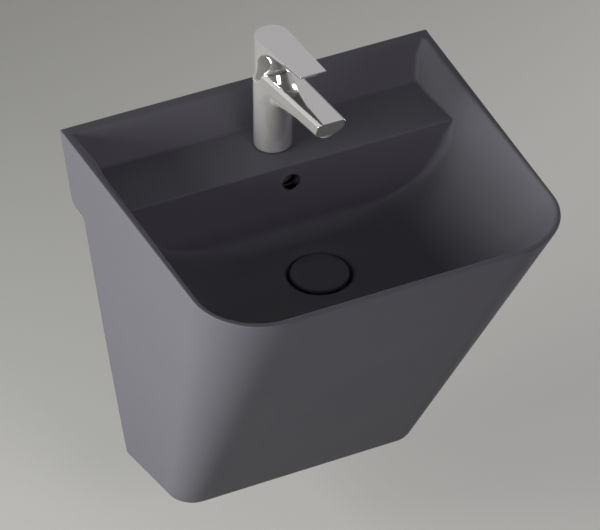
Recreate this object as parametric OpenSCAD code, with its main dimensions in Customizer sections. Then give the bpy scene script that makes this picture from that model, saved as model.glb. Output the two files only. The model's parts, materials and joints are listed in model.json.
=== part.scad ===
// Half-pedestal washbasin in one ceramic piece, with a single-lever mixer tap,
// a push plug and a bottle trap inside the skirt.
// The origin is on the wall, midway between the two fixing holes.
// +X runs along the wall, to the right when the front is faced, -Y leads away from
// the wall and +Z is up.

/* [Basin] */
// Width along the wall
basin_w = 500; // [460:1:600]
// Reach from the wall to the front of the rim
basin_reach = 456; // [420:1:500]
// Height of the ceramic, rim to bottom edge
basin_h = 523.5; // [480:0.5:580]
// Width of the rim at its front corners, before they are rounded
front_w = 467; // [430:1:470]
// Radius of the rim's front corners
rim_corner_r = 88; // [70:1:100]
// Width of the bottom edge at the wall side
foot_back_w = 390; // [350:1:430]
// Width of the bottom edge at its front
foot_front_w = 334; // [300:1:360]
// Reach of the bottom edge from the wall
foot_reach = 161; // [140:1:180]
// Radius of the bottom edge's front corners
foot_corner_r = 35; // [25:1:45]
// Thickness of the ceramic wall
wall = 12; // [9:0.5:13]
// Distance of the skirt's back edge from the wall
skirt_gap = 33; // [20:1:40]
// Height of the block that lies on the wall, below the rim
block_h = 118; // [105:1:140]
// Thickness of the plate that lies on the wall
back_plate_t = 16; // [14:1:18]

/* [Bowl] */
// Depth of the tap deck below the rim
deck_depth = 45; // [38:1:50]
// Distance of the deck's front edge from the wall
deck_edge = 131; // [125:1:136]
// Depth of the bowl at its drain
bowl_depth = 152; // [145:1:158]
// Fall of the floor from its edge to the drain
floor_fall = 3; // [1:0.5:4]
// Thickness of the rim at the wall
rim_back_t = 16; // [14:1:18]
// Thickness of the rim at the sides
rim_side_t = 8.5; // [8:0.5:11]
// Thickness of the rim at the front
rim_front_t = 10; // [9:0.5:12]
// Radius of the fillet between side walls and floor, across
side_fillet_w = 110; // [90:1:115]
// Radius of the fillet between front wall and floor, across
front_fillet_w = 70; // [55:1:75]

/* [Wall fixing] */
// Distance between the two fixing holes
fix_pitch = 280; // [240:5:300]
// Radius of the bush's bore, for an M10 hanger bolt
fix_bore_r = 5.5; // [5:0.1:6.5]
// Depth of the fixing holes below the rim
fix_depth = 88; // [82:1:92]
// Thickness of the bush's wall
bush_wall = 2.4; // [1.5:0.1:3]
// Radius of the bush's flange
bush_flange_r = 12; // [11:0.5:14]
// Thickness of the bush's flange
bush_flange_t = 3; // [2:0.5:4]

/* [Overflow] */
// Radius of the overflow hole
overflow_r = 12; // [10:0.5:13]
// Depth of the overflow hole below the rim
overflow_depth = 69; // [67:1:74]
// Width of the overflow channel
duct_w = 27; // [26:1:30]
// Depth of the overflow channel, front to back
duct_d = 10; // [8:0.5:12]

/* [Tap] */
// Distance of the tap's axis from the wall
tap_y = 80; // [77:0.5:82]
// Radius of the tap hole in the deck
tap_hole_r = 17.5; // [17.5:0.1:18]
// Radius of the tap's body
tap_r = 24.1; // [23.8:0.1:25]
// Radius of the handle's hub
hub_r = 22.3; // [22:0.1:23]
// Height of the body above the deck, up to the handle
tap_body_h = 102; // [100:1:106]
// Distance from the tap's axis to the spout's tip
spout_reach = 170; // [160:1:180]
// Rise of the spout's tip above the body's top
spout_rise = 44; // [40:1:48]
// Width of the spout's tip
spout_tip_w = 37; // [34:1:40]
// Depth of the spout at its tip
spout_tip_t = 27; // [25:0.5:28]
// Distance from the tap's axis to the handle's tip
lever_reach = 117; // [105:1:125]
// Height of the handle, from the body to its top at the tap's axis
handle_h = 60.5; // [56:0.5:64]
// Rise of the handle's top towards its tip, in degrees
lever_rise = 9.2; // [6:0.2:11]
// Width of the handle's tip
lever_tip_w = 34.6; // [30:0.2:38]
// Thickness of the handle's tip
lever_tip_t = 2.6; // [2:0.1:4]
// How far the handle lifts, in degrees
lever_lift = 25; // [18:1:25]

/* [Cartridge] */
// Radius of the cartridge
cartridge_r = 17.4; // [17:0.1:17.6]
// Radius of the cartridge's neck
neck_r = 15.4; // [15:0.1:15.8]
// Radius of the turning carrier in the neck
carrier_r = 12.8; // [12.4:0.1:13]
// Width of the spindle's square
spindle_w = 8; // [7:0.1:8]
// Distance from the spindle's pivot to the disc slider
disc_arm = 11; // [10:0.1:11]

/* [Waste] */
// Distance of the drain's axis from the wall
drain_y = 216; // [212:1:220]
// Radius of the ceramic plug's cap
cap_r = 37.2; // [35:0.1:37.5]
// Thickness of the cap at its edge
cap_t = 6; // [5:0.5:6.5]
// How far the plug travels
plug_travel = 8; // [6:0.5:8]
// Outer radius of the waste's threaded tube
waste_r = 20.8; // [20.4:0.1:21]
// Radius of the waste's flange
waste_flange_r = 32; // [30:0.5:33]
// Height of the waste's tube below its flange
waste_len = 70; // [66:1:72]

/* [Trap] */
// Outer radius of the waste pipes
pipe_r = 16; // [15.5:0.1:16]
// Radius of the bottle
bottle_r = 31; // [29:0.5:32]
// Height of the bottle's body
bottle_h = 52; // [50:1:54]
// How far the outlet pipe reaches past the wall's face
pipe_past_wall = 30; // [20:1:40]
// Radius of the wall rosette
rosette_r = 38; // [32:1:42]

/* [Hidden] */

$fn = 64;
// How far a cut runs past the face that it opens
past = 1;
// Running clearance of a pin or shaft in its bore
run = 0.05;
// Gap between parts of different bodies that don't touch
gap = 0.4;

// Height of the rim above the origin, which lies at the fixing holes
rim_z = fix_depth;
// Height of the point that lies d below the rim
function zd(d) = rim_z - d;
function mix(a, b, t) = a + (b - a) * t;

// --- Outline of the ceramic -------------------------------------------------
// Steps along each rounded corner
corner_steps = 10;

// A rounded front corner on the right. half is the half width at the front before
// rounding, lean the angle by which the side runs in towards the front.
function front_corner(half, reach, lean, r) =
    let (cx = half - r * (1 - sin(lean)) / cos(lean), cy = -reach + r)
    [for (i = [0 : corner_steps])
        let (a = -lean - (90 - lean) * i / corner_steps)
        [cx + r * cos(a), cy + r * sin(a)]];

// A closed outline at height z: straight at the back, rounded at the front
function ring(z, back_half, back_y, front_half, reach, r, mid_half = 0, mid_y = 0) =
    let (
        side_half = mid_half > 0 ? mid_half : back_half,
        side_y = mid_half > 0 ? mid_y : back_y,
        lean = atan((side_half - front_half) / (reach + side_y)),
        right = concat(
            [[back_half, back_y]],
            mid_half > 0 ? [[mid_half, mid_y]] : [],
            front_corner(front_half, reach, lean, r)
        ),
        n = len(right)
    )
    concat(
        [for (p = right) [p[0], p[1], z]],
        [for (i = [n - 1 : -1 : 0]) [-right[i][0], right[i][1], z]]
    );

// A closed solid through rings of equally many points, listed from the top down
module loft(rings) {
    n = len(rings[0]);
    m = len(rings);
    polyhedron(
        points = [for (r = rings) for (p = r) p],
        faces = concat(
            [[for (i = [0 : n - 1]) i]],
            [[for (i = [n - 1 : -1 : 0]) (m - 1) * n + i]],
            [for (k = [0 : m - 2]) for (i = [0 : n - 1])
                [k * n + i, (k + 1) * n + (i + 1) % n, k * n + (i + 1) % n]],
            [for (k = [0 : m - 2]) for (i = [0 : n - 1])
                [k * n + i, (k + 1) * n + i, (k + 1) * n + (i + 1) % n]]
        )
    );
}

// The outer body at depth d, with its faces moved in by the distance s
function body_ring(d, s = 0, back_y = 0) =
    let (t = d / basin_h)
    ring(
        zd(d),
        mix(basin_w, foot_back_w, t) / 2 - s,
        back_y,
        mix(front_w, foot_front_w, t) / 2 - s,
        mix(basin_reach, foot_reach, t) - s * front_slope,
        mix(rim_corner_r, foot_corner_r, t) - s
    );
// Horizontal thickness of the sloping front for each unit of its wall
front_slope = sqrt(1 + pow((basin_reach - foot_reach) / basin_h, 2));

// --- Bowl -------------------------------------------------------------------
// Depth where the floor meets the walls' fillets
floor_depth = bowl_depth - floor_fall;
// Lean of the bowl's side walls, across for each unit of depth
side_lean = 0.27;
// Depth where the side fillet and the front fillet start
side_fillet_start = 60;
front_fillet_start = 80;
// Lean of the bowl's front wall, close to that of the outer face
front_lean = (basin_reach - foot_reach) / basin_h + 0.04;
// Share of the skin's thickness at the front, where the outer face is near
skin_front_share = 0.8;
// Lean of the wall below the deck and its fillet at the floor
scoop_lean = 0.08;
scoop_fillet = 22;
// How far the walls above the deck lean in at the back
deck_back_lean = 23;
deck_side_lean = 18;
// Half width of the bowl's mouth at the back and at the front
mouth_back_half = basin_w / 2 - rim_side_t - 3;
mouth_front_half = front_w / 2 - rim_side_t + 4;
mouth_corner_r = rim_corner_r - rim_side_t;
// Radius of the bowl's front corners at its floor
floor_corner_r = 50;
// Half width of the mouth in line with the deck's front edge
mouth_edge_half = mix(mouth_back_half, mouth_front_half, deck_edge / basin_reach);

// How far an elliptic fillet of width w, from depth a to depth b, reaches in at depth d
function fillet_in(d, a, b, w) =
    d <= a ? 0 : w * (1 - sqrt(max(0, 1 - pow((min(d, b) - a) / (b - a), 2))));
function side_in(d) = side_lean * d + fillet_in(d, side_fillet_start, floor_depth, side_fillet_w);
function front_in(d) =
    front_lean * d + fillet_in(d, front_fillet_start, floor_depth, front_fillet_w);
function scoop_y(d) = -deck_edge - scoop_lean * (d - deck_depth)
    - fillet_in(d, floor_depth - scoop_fillet, floor_depth, scoop_fillet);

// The bowl in front of the deck at depth d, with its faces moved out by s
function bowl_ring(d, s = 0) =
    ring(
        zd(d * (1 + s / floor_depth)),
        mouth_edge_half - side_in(d) + s,
        scoop_y(d) + s,
        mouth_front_half - side_in(d) + s,
        basin_reach - rim_front_t - front_in(d) + s * skin_front_share,
        mix(mouth_corner_r, floor_corner_r, pow(d / floor_depth, 2)) + s / 2
    );
function drain_ring(depth, r) =
    [for (p = bowl_ring(floor_depth))
        let (v = [p[0], p[1] + drain_y], k = r / norm(v))
        [v[0] * k, v[1] * k - drain_y, zd(depth)]];

bowl_depths = [deck_depth - 3, 52, 60, 75, 89, 101, 112, 122, 131, 138, 143, 147, floor_depth];

module bowl_cavity() {
    loft(concat(
        [for (d = bowl_depths) bowl_ring(d)],
        [drain_ring(bowl_depth, recess_r + past)]
    ));
}

// The recess above the deck, open at the rim
module deck_cavity() {
    loft([for (t = [-0.1, 0, 0.35, 1])
        let (d = t * deck_depth, lean_t = 1 - pow(1 - max(t, 0), 1.6))
        ring(
            zd(d),
            mouth_back_half - deck_side_lean * lean_t,
            -rim_back_t - deck_back_lean * max(t, 0),
            mouth_front_half - side_in(max(d, 0)),
            basin_reach - rim_front_t - front_in(max(d, 0)),
            mouth_corner_r,
            mouth_edge_half - side_in(max(d, 0)),
            -deck_edge
        )]);
}

// The ceramic around the bowl
module bowl_skin() {
    loft([for (d = bowl_depths) bowl_ring(d, wall)]);
}

// The hollow inside the skirt, open at the bottom and at the back
module skirt_hollow() {
    loft([
        body_ring(deck_depth + wall, wall, past),
        body_ring(basin_h + past, wall, past)
    ]);
}

// A box given by its sides; depths are counted down from the rim
module box(x0, x1, y0, y1, d0, d1) {
    translate([x0, y0, zd(d1)]) cube([x1 - x0, y1 - y0, d1 - d0]);
}
// A cylinder along Z between two depths
module post(r, d0, d1, x = 0, y = 0) {
    translate([x, y, zd(d1)]) cylinder(r = r, h = d1 - d0);
}
// A tube along Z between two depths
module pipe_z(r_out, r_in, d0, d1, x = 0, y = 0) {
    difference() {
        post(r_out, d0, d1, x, y);
        post(r_in, d0 - past, d1 + past, x, y);
    }
}
// A cylinder along Y from y0 to y1
module bar_y(r, y0, y1, x, z) {
    translate([x, y0, z]) rotate([-90, 0, 0]) cylinder(r = r, h = y1 - y0);
}
// A tube along Y from y0 to y1
module pipe_y(r_out, r_in, y0, y1, x, z) {
    difference() {
        bar_y(r_out, y0, y1, x, z);
        bar_y(r_in, y0 - past, y1 + past, x, z);
    }
}

// --- Drain ------------------------------------------------------------------
// Radii of the recess around the cap, at the floor and at its bottom
recess_r = cap_r + 6.3;
recess_bottom_r = waste_flange_r + 4;
// Thickness of the cap's seal, of the waste's flange and of its gasket
plug_seal_t = 2.5;
flange_t = 2.5;
gasket_t = 1.5;
// Depths of the parts of the plug and waste, from the top down
cap_top = bowl_depth - 1;
cap_bottom = cap_top + cap_t;
plug_seal_bottom = cap_bottom + plug_seal_t;
flange_top = plug_seal_bottom + plug_travel + gap;
flange_bottom = flange_top + flange_t;
recess_bottom = flange_bottom + gasket_t;
boss_h = 24;
boss_bottom = recess_bottom + boss_h;
boss_r = waste_flange_r + 8;
waste_hole_r = waste_r + 2.2;
// Overflow channel where it meets the waste hole
duct_below_recess = 5;
// How far the channel reaches above the overflow hole
duct_over_hole = 2;
duct_top = recess_bottom + duct_below_recess;
duct_bottom = duct_top + duct_d;
duct_front_y = -deck_edge - scoop_lean * (overflow_depth - deck_depth) + wall;
duct_back_y = duct_front_y + duct_d;

module basin() {
    color("dimgray") difference() {
        union() {
            difference() {
                loft([body_ring(0), body_ring(basin_h)]);
                skirt_hollow();
            }
            intersection() {
                loft([body_ring(0), body_ring(basin_h)]);
                union() {
                    bowl_skin();
                    box(-basin_w, basin_w, -back_plate_t, past, 0, block_h);
                    post(boss_r, bowl_depth, boss_bottom, 0, -drain_y);
                    box(
                        -duct_w / 2 - wall / 2, duct_w / 2 + wall / 2,
                        duct_front_y - wall, duct_back_y + wall / 2,
                        deck_depth + wall / 2, duct_bottom + wall / 2
                    );
                    box(
                        -duct_w / 2 - wall / 2, duct_w / 2 + wall / 2,
                        -drain_y, duct_back_y + wall / 2,
                        bowl_depth, duct_bottom + wall / 2
                    );
                }
            }
        }
        // Gap between the skirt and the wall
        box(-basin_w, basin_w, -skirt_gap, 2 * past, block_h, basin_h + 2 * past);
        deck_cavity();
        bowl_cavity();
        // Recess and hole of the waste
        translate([0, -drain_y, zd(recess_bottom)]) rotate_extrude() polygon([
            [0, 0], [recess_bottom_r, 0], [recess_r, recess_bottom - bowl_depth],
            [recess_r, recess_bottom - bowl_depth + past],
            [0, recess_bottom - bowl_depth + past]
        ]);
        post(waste_hole_r, recess_bottom - past, boss_bottom + past, 0, -drain_y);
        // Overflow hole and channel
        bar_y(overflow_r, -deck_edge - wall, duct_back_y - past, 0, zd(overflow_depth));
        box(
            -duct_w / 2, duct_w / 2, duct_front_y, duct_back_y,
            overflow_depth - overflow_r - duct_over_hole, duct_bottom
        );
        box(-duct_w / 2, duct_w / 2, -drain_y, duct_front_y + past, duct_top, duct_bottom);
        // Tap hole
        post(tap_hole_r, deck_depth - past, deck_depth + wall + past, 0, -tap_y);
        // Fixing holes
        for (x = [-fix_pitch / 2, fix_pitch / 2])
            bar_y(fix_bore_r + bush_wall, -back_plate_t - past, past, x, 0);
    }
}

overflow_ring_t = 1.3;
overflow_ring_len = 8;
module overflow_ring() {
    front_y = -deck_edge - scoop_lean * (overflow_depth + overflow_r - deck_depth);
    color("gainsboro")
        pipe_y(overflow_r, overflow_r - overflow_ring_t,
            front_y, front_y + overflow_ring_len, 0, zd(overflow_depth));
}

module fixing_bushes() {
    color("white") for (x = [-fix_pitch / 2, fix_pitch / 2]) difference() {
        union() {
            bar_y(fix_bore_r + bush_wall, -back_plate_t, 0, x, 0);
            bar_y(bush_flange_r, -back_plate_t - bush_flange_t, -back_plate_t, x, 0);
        }
        bar_y(fix_bore_r, -back_plate_t - bush_flange_t - past, past, x, 0);
    }
}

// --- Tap --------------------------------------------------------------------
// Height above the deck, written as a depth below the rim
function dt(t) = deck_depth - t;
deck_z = zd(deck_depth);
base_gasket_t = 1.5;
// Top face of the body, just below the handle's hub
body_top = tap_body_h - gap;
// Half width of the spout at its root
spout_root_half = tap_r - 2;
// Fall of the flat top from the tip to the tap's axis
spout_fall = 28.7;
// Width and depth of the bevel between the flat top and each side edge
spout_bevel_w = 4.4;
spout_bevel_h = 2.8;
// Height of the upright strip below the side edges
spout_side_h = 11;
// Distance of the belly's middle section from the tap's axis
spout_mid = 107;
// Height of the belly at the body's front and at the middle section
spout_belly_h = tap_body_h - 25;
spout_mid_belly_h = tap_body_h + 5.5;
// How far the tip's face leans back for each unit below its top
spout_tip_slant = 0.5;
// Gap between the turning hub and the parts of the body beside it
hub_gap = 0.6;
// How far the clearance around the hub widens with its height, for the lifted handle
hub_flare = 0.2;
cartridge_h = 40;
cartridge_top = tap_body_h - 6;
cartridge_base = cartridge_top - cartridge_h;
spout_tip_h = tap_body_h + spout_rise;
chamber_r = cartridge_r + 0.1;
nut_r = 19.3;
nut_h = 5;
// Depth of the nut's bore below the cartridge's shoulder
nut_seat = 2;
inlet_r = 4.5;
inlet_x = 2 * inlet_r;
inlet_len = 18;
stud_y = 12;
stud_r = 4;
stud_grip = 12;
aerator_r = 10;
aerator_y = spout_reach - aerator_r - 13;
aerator_h = 10;
aerator_bottom = spout_tip_h - spout_tip_t - 4;
passage_r = 3.6;
inlet_passage_r = 3;

// Height of the spout's flat top and of its belly at the distance y from the axis, and
// the half width of the spout there
function spout_top(y) = spout_tip_h - spout_fall * (1 - y / spout_reach);
function spout_belly(y) = y < spout_mid
    ? mix(spout_belly_h, spout_mid_belly_h, (y - tap_r) / (spout_mid - tap_r))
    : mix(spout_mid_belly_h, spout_tip_h - spout_tip_t,
        (y - spout_mid) / (spout_reach - spout_mid));
function spout_half(y) = mix(spout_root_half, spout_tip_w / 2, y / spout_reach);

// A cross-section of the spout at the distance y, leaning back by slant below its top
function spout_section(y, slant = 0) =
    let (
        n = 8,
        half = spout_half(y),
        flat = half - spout_bevel_w,
        top = spout_top(y),
        edge = top - spout_bevel_h,
        side_h = edge - spout_side_h,
        low = side_h - spout_belly(y),
        outline = concat(
            [[flat, top], [-flat, top], [-half, edge]],
            [for (i = [0 : n])
                let (a = 180 + 180 * i / n)
                [half * cos(a), side_h + low * sin(a)]],
            [[half, edge]]
        )
    )
    [for (p = outline) [p[0], -y + slant * (top - p[1]), p[1]]];

module spout() {
    translate([0, -tap_y, deck_z]) loft([
        spout_section(5), spout_section(tap_r), spout_section(spout_mid),
        spout_section(spout_reach, spout_tip_slant)
    ]);
}

module tap_body() {
    color("gainsboro") difference() {
        union() {
            post(tap_r, dt(body_top), dt(base_gasket_t), 0, -tap_y);
            spout();
        }
        // Room for the turning hub, above the body's top
        translate([0, -tap_y, deck_z + body_top])
            cylinder(r1 = hub_r + hub_gap, r2 = hub_r + hub_gap + handle_h * hub_flare,
                h = handle_h);
        // Cartridge chamber and its wider mouth for the nut
        post(chamber_r, dt(body_top + past), dt(cartridge_base), 0, -tap_y);
        post(nut_r + run, dt(body_top + past), dt(cartridge_top - nut_seat), 0, -tap_y);
        // Groove of the seal under the cartridge
        pipe_z(seal_out_r, seal_in_r, dt(cartridge_base + past), dt(cartridge_base - seal_t),
            0, -tap_y);
        // Inlets and their passages
        for (x = [-inlet_x, inlet_x]) {
            post(inlet_r, dt(inlet_len), dt(base_gasket_t - past), x, -tap_y);
            post(inlet_passage_r, dt(cartridge_base + past), dt(inlet_len - past), x, -tap_y);
        }
        post(stud_r, dt(base_gasket_t + stud_grip), dt(base_gasket_t - past), 0, -tap_y + stud_y);
        // Passage to the aerator
        passage();
        post(aerator_r + run, dt(aerator_bottom + aerator_h), dt(aerator_bottom - aerator_h),
            0, -tap_y - aerator_y);
    }
}

// The passage from the chamber to the aerator, a straight drilling
module passage() {
    from = [-chamber_r + passage_r, cartridge_top - 2.5 * passage_r];
    to = [-aerator_y, aerator_bottom + aerator_h + passage_r - 1];
    run_y = to[0] - from[0];
    rise = to[1] - from[1];
    translate([0, -tap_y + from[0], deck_z + from[1]])
        rotate([90 - atan(rise / -run_y), 0, 0])
            cylinder(r = passage_r, h = norm([run_y, rise]));
}

module tap_base_gasket() {
    color("black") pipe_z(tap_r - 1, tap_hole_r, dt(base_gasket_t), dt(0), 0, -tap_y);
}

stud_gasket_t = 3;
stud_plate_t = 3;
stud_nut_h = 8;
stud_past_nut = 12;
horseshoe_r = 24;
horseshoe_slot = 28;
horseshoe_slot_end = 5;
module horseshoe(d0, d1) {
    difference() {
        post(horseshoe_r, d0, d1, 0, -tap_y);
        box(-horseshoe_slot / 2, horseshoe_slot / 2, -tap_y - horseshoe_r - past, -tap_y + horseshoe_slot_end,
            d0 - past, d1 + past);
        post(stud_r + 0.3, d0 - past, d1 + past, 0, -tap_y + stud_y);
    }
}
slab_bottom = deck_depth + wall;
module tap_stud() {
    color("darkgoldenrod") post(stud_r, dt(base_gasket_t + stud_grip),
        slab_bottom + stud_gasket_t + stud_plate_t + stud_nut_h + stud_past_nut,
        0, -tap_y + stud_y);
}
module stud_gasket() {
    color("black") horseshoe(slab_bottom, slab_bottom + stud_gasket_t);
}
module stud_plate() {
    color("silver") horseshoe(slab_bottom + stud_gasket_t,
        slab_bottom + stud_gasket_t + stud_plate_t);
}
module stud_nut() {
    top = slab_bottom + stud_gasket_t + stud_plate_t;
    color("goldenrod") difference() {
        translate([0, -tap_y + stud_y, zd(top + stud_nut_h)])
            cylinder(r = stud_r * 1.85, h = stud_nut_h, $fn = 6);
        post(stud_r, top - past, top + stud_nut_h + past, 0, -tap_y + stud_y);
    }
}

// --- Cartridge --------------------------------------------------------------
seal_t = 1.6;
seal_out_r = cartridge_r - 1.4;
seal_in_r = seal_out_r - 1.8;
neck_top = tap_body_h + 4.5;
carrier_bottom = tap_body_h - 8.5;
chamber_in_r = carrier_r + 2 * run;
disc_r = 10.2;
disc_t = 4;
slider_travel = disc_arm * sin(lever_lift);
// The slider rests this far behind the axis, so that it travels evenly about it
slider_rest = slider_travel / 2;
slider_top = carrier_bottom - 0.3;
slider_h = 5.6;
// Floor left under the slider's socket
socket_floor = 0.6;
slider_bottom = slider_top - slider_h;
disc_top = slider_bottom;
fixed_disc_top = disc_top - disc_t;
port_r = 3;
port_pitch_r = 7.5;

module ports(d0, d1) {
    for (a = [90, 210, 330])
        post(port_r, d0, d1, port_pitch_r * cos(a), -tap_y + port_pitch_r * sin(a));
}
module cartridge() {
    color("whitesmoke") difference() {
        union() {
            post(cartridge_r, dt(cartridge_top), dt(cartridge_base), 0, -tap_y);
            post(neck_r, dt(neck_top), dt(cartridge_top), 0, -tap_y);
        }
        post(chamber_in_r, dt(neck_top + past), dt(fixed_disc_top - disc_t), 0, -tap_y);
        ports(dt(cartridge_top), dt(cartridge_base - past));
    }
}
module cartridge_seal() {
    color("black") pipe_z(seal_out_r, seal_in_r,
        dt(cartridge_base), dt(cartridge_base - seal_t), 0, -tap_y);
}
module fixed_disc() {
    color("ivory") difference() {
        post(chamber_in_r, dt(fixed_disc_top), dt(fixed_disc_top - disc_t), 0, -tap_y);
        ports(dt(cartridge_top), dt(cartridge_base));
    }
}
module moving_disc() {
    color("ivory") difference() {
        post(disc_r, dt(disc_top), dt(fixed_disc_top + run), 0, -tap_y + slider_rest);
        post(disc_r - 4, dt(fixed_disc_top + disc_t / 2), dt(fixed_disc_top - past),
            0, -tap_y + slider_rest);
    }
}
// The socket in the slider takes the spindle's lower end
spindle_end_r = 2.5;
socket_w = 2 * spindle_end_r + 0.9;
module disc_slider() {
    color("dimgray") difference() {
        post(disc_r, dt(slider_top), dt(slider_bottom), 0, -tap_y + slider_rest);
        box(-spindle_w / 2 - 0.5, spindle_w / 2 + 0.5,
            -tap_y - socket_w / 2, -tap_y + socket_w / 2,
            dt(slider_top + past), dt(slider_bottom + socket_floor));
    }
}
carrier_slot_w = spindle_w + 0.6;
carrier_slot_len = 19;
pin_r = 1.5;
module cartridge_carrier() {
    color("dimgray") difference() {
        post(carrier_r, dt(neck_top), dt(carrier_bottom), 0, -tap_y);
        box(-carrier_slot_w / 2, carrier_slot_w / 2,
            -tap_y - carrier_slot_len / 2, -tap_y + carrier_slot_len / 2,
            dt(neck_top + past), dt(carrier_bottom - past));
        pin_bar(pin_r, carrier_r * 2 + 2);
    }
}
module pin_bar(r, len) {
    translate([-len / 2, -tap_y, deck_z + tap_body_h])
        rotate([0, 90, 0]) cylinder(r = r, h = len);
}
module pivot_pin() {
    color("silver") pin_bar(pin_r, carrier_r * 2 - 0.6);
}
module cartridge_nut() {
    color("goldenrod") pipe_z(nut_r, neck_r + 0.3,
        dt(cartridge_top + nut_h), dt(cartridge_top), 0, -tap_y);
}

// --- Handle -----------------------------------------------------------------
hub_cavity_r = hub_r - 2.3;
hub_ceiling = tap_body_h + 24;
boss_bottom_t = tap_body_h + 10;
boss_in_r = 8;
spindle_top = tap_body_h + 22;
screw_h = tap_body_h + 17;
lever_h = tap_body_h + handle_h;
screw_r = 2.5;
screw_len = 10;
plug_r = 3.6;
plug_t = 2;
// Thickness of the handle's plate at the hub
lever_root_t = 7.5;
// Radius of the fillet between the hub's front and the plate's underside
lever_fillet_r = 12;

// Height of the handle's top at the distance y in front of the axis: level above the
// back of the hub, then rising to the tip
function lever_top(y) = lever_h + tan(lever_rise) * max(0, y);

module spindle() {
    low = tap_body_h - disc_arm;
    color("silver") difference() {
        union() {
            box(-spindle_w / 2, spindle_w / 2,
                -tap_y - spindle_w / 2, -tap_y + spindle_w / 2,
                dt(spindle_top), dt(tap_body_h - 5));
            box(-spindle_w / 2, spindle_w / 2, -tap_y - 1.8, -tap_y + 1.8,
                dt(tap_body_h), dt(low));
            translate([-spindle_w / 2, -tap_y, deck_z + low])
                rotate([0, 90, 0]) cylinder(r = spindle_end_r, h = spindle_w);
        }
        pin_bar(pin_r + run, spindle_w + 2);
    }
}

// Plan of the plate; its edges start just inside the hub's outline
module lever_plan() {
    root_half = hub_r - 0.2;
    polygon([
        [root_half, 0], [lever_tip_w / 2, -lever_reach],
        [-lever_tip_w / 2, -lever_reach], [-root_half, 0]
    ]);
}
// Side view of the whole handle, with the wedge at the back that lets it lift
module lever_side() {
    under_tip = lever_top(lever_reach) - lever_tip_t;
    under_hub = lever_top(hub_r) - lever_root_t;
    a = atan((under_tip - under_hub) / (lever_reach - hub_r));
    // Centre of the fillet, touching the hub's front line and the underside
    cy = -hub_r - lever_fillet_r;
    cz = under_hub + lever_fillet_r * (tan(a) - 1 / cos(a));
    polygon(concat(
        [
            [hub_r + past, lever_h],
            [0, lever_h],
            [-lever_reach, lever_top(lever_reach)],
            [-lever_reach, under_tip]
        ],
        [for (i = [0 : 8])
            let (b = 90 - a - (90 - a) * i / 8)
            [cy + lever_fillet_r * cos(b), cz + lever_fillet_r * sin(b)]],
        [
            [-hub_r, tap_body_h],
            [0, tap_body_h],
            [hub_r + past, tap_body_h + tan(lever_lift) * (hub_r + past)]
        ]
    ));
}
module lever_handle() {
    plan_bottom = lever_top(hub_r) - lever_root_t - lever_fillet_r;
    color("gainsboro") translate([0, -tap_y, deck_z]) difference() {
        intersection() {
            union() {
                translate([0, 0, plan_bottom])
                    linear_extrude(height = lever_h) lever_plan();
                translate([0, 0, tap_body_h - past])
                    cylinder(r = hub_r, h = lever_h);
            }
            rotate([90, 0, 90]) translate([0, 0, -hub_r - past])
                linear_extrude(height = 2 * hub_r + 2 * past) lever_side();
        }
        // Hollow of the hub, with the boss for the spindle left standing
        difference() {
            translate([0, 0, tap_body_h - past])
                cylinder(r = hub_cavity_r, h = hub_ceiling - tap_body_h + past);
            translate([0, 0, boss_bottom_t]) cylinder(r = boss_in_r, h = hub_ceiling);
            translate([0, hub_cavity_r + past, screw_h]) rotate([90, 0, 0])
                cylinder(r = screw_r + 2.5, h = hub_cavity_r);
        }
        // Square hole for the spindle
        translate([-spindle_w / 2, -spindle_w / 2, boss_bottom_t - past])
            cube([spindle_w, spindle_w, spindle_top - boss_bottom_t + past]);
        // Screw and plug holes
        translate([0, hub_r + past, screw_h]) rotate([90, 0, 0])
            cylinder(r = screw_r, h = hub_r + past - spindle_w / 2 + 0.1);
        translate([0, hub_r + past, screw_h]) rotate([90, 0, 0])
            cylinder(r = plug_r, h = plug_t + past + 0.6);
    }
}
module lever_screw() {
    color("silver") difference() {
        bar_y(screw_r, -tap_y + spindle_w / 2, -tap_y + spindle_w / 2 + screw_len,
            0, deck_z + screw_h);
        translate([0, -tap_y + spindle_w / 2 + screw_len + past, deck_z + screw_h])
            rotate([90, 0, 0]) cylinder(r = 1.25, h = 3 + past, $fn = 6);
    }
}
module index_plug() {
    color("gray") bar_y(plug_r, -tap_y + hub_r - plug_t - 0.6, -tap_y + hub_r - 0.6,
        0, deck_z + screw_h);
}

// --- Aerator ----------------------------------------------------------------
aerator_wall = 1.8;
module aerator_housing() {
    color("gainsboro") difference() {
        post(aerator_r, dt(aerator_bottom + aerator_h), dt(aerator_bottom), 0,
            -tap_y - aerator_y);
        post(aerator_r - aerator_wall, dt(aerator_bottom + aerator_h + past),
            dt(aerator_bottom - past), 0, -tap_y - aerator_y);
    }
}
module aerator_insert() {
    color("lightgray") difference() {
        post(aerator_r - aerator_wall, dt(aerator_bottom + aerator_h - 2),
            dt(aerator_bottom + 1.5), 0, -tap_y - aerator_y);
        post(0.9, dt(aerator_bottom + aerator_h), dt(aerator_bottom), 0, -tap_y - aerator_y);
        for (row = [[6, 2.8], [12, 5.6]]) for (i = [0 : row[0] - 1])
            post(0.9, dt(aerator_bottom + aerator_h), dt(aerator_bottom),
                row[1] * cos(360 * i / row[0]),
                -tap_y - aerator_y + row[1] * sin(360 * i / row[0]));
    }
}

// --- Plug and waste ---------------------------------------------------------
waste_tube_t = 2.3;
waste_end = flange_bottom + waste_len;
spider_top = duct_top + 2;
spider_t = 4;
spider_h = 14;
spider_arm_w = 3;
click_r = 7;
click_top = spider_top - 3;
click_bottom = spider_top + 24;
// Width of the overflow slots in the tube
slot_w = 14;
stem_r = 3;
stem_disc_r = 13;
stem_disc_t = 2;
cap_dome = 1.5;

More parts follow.
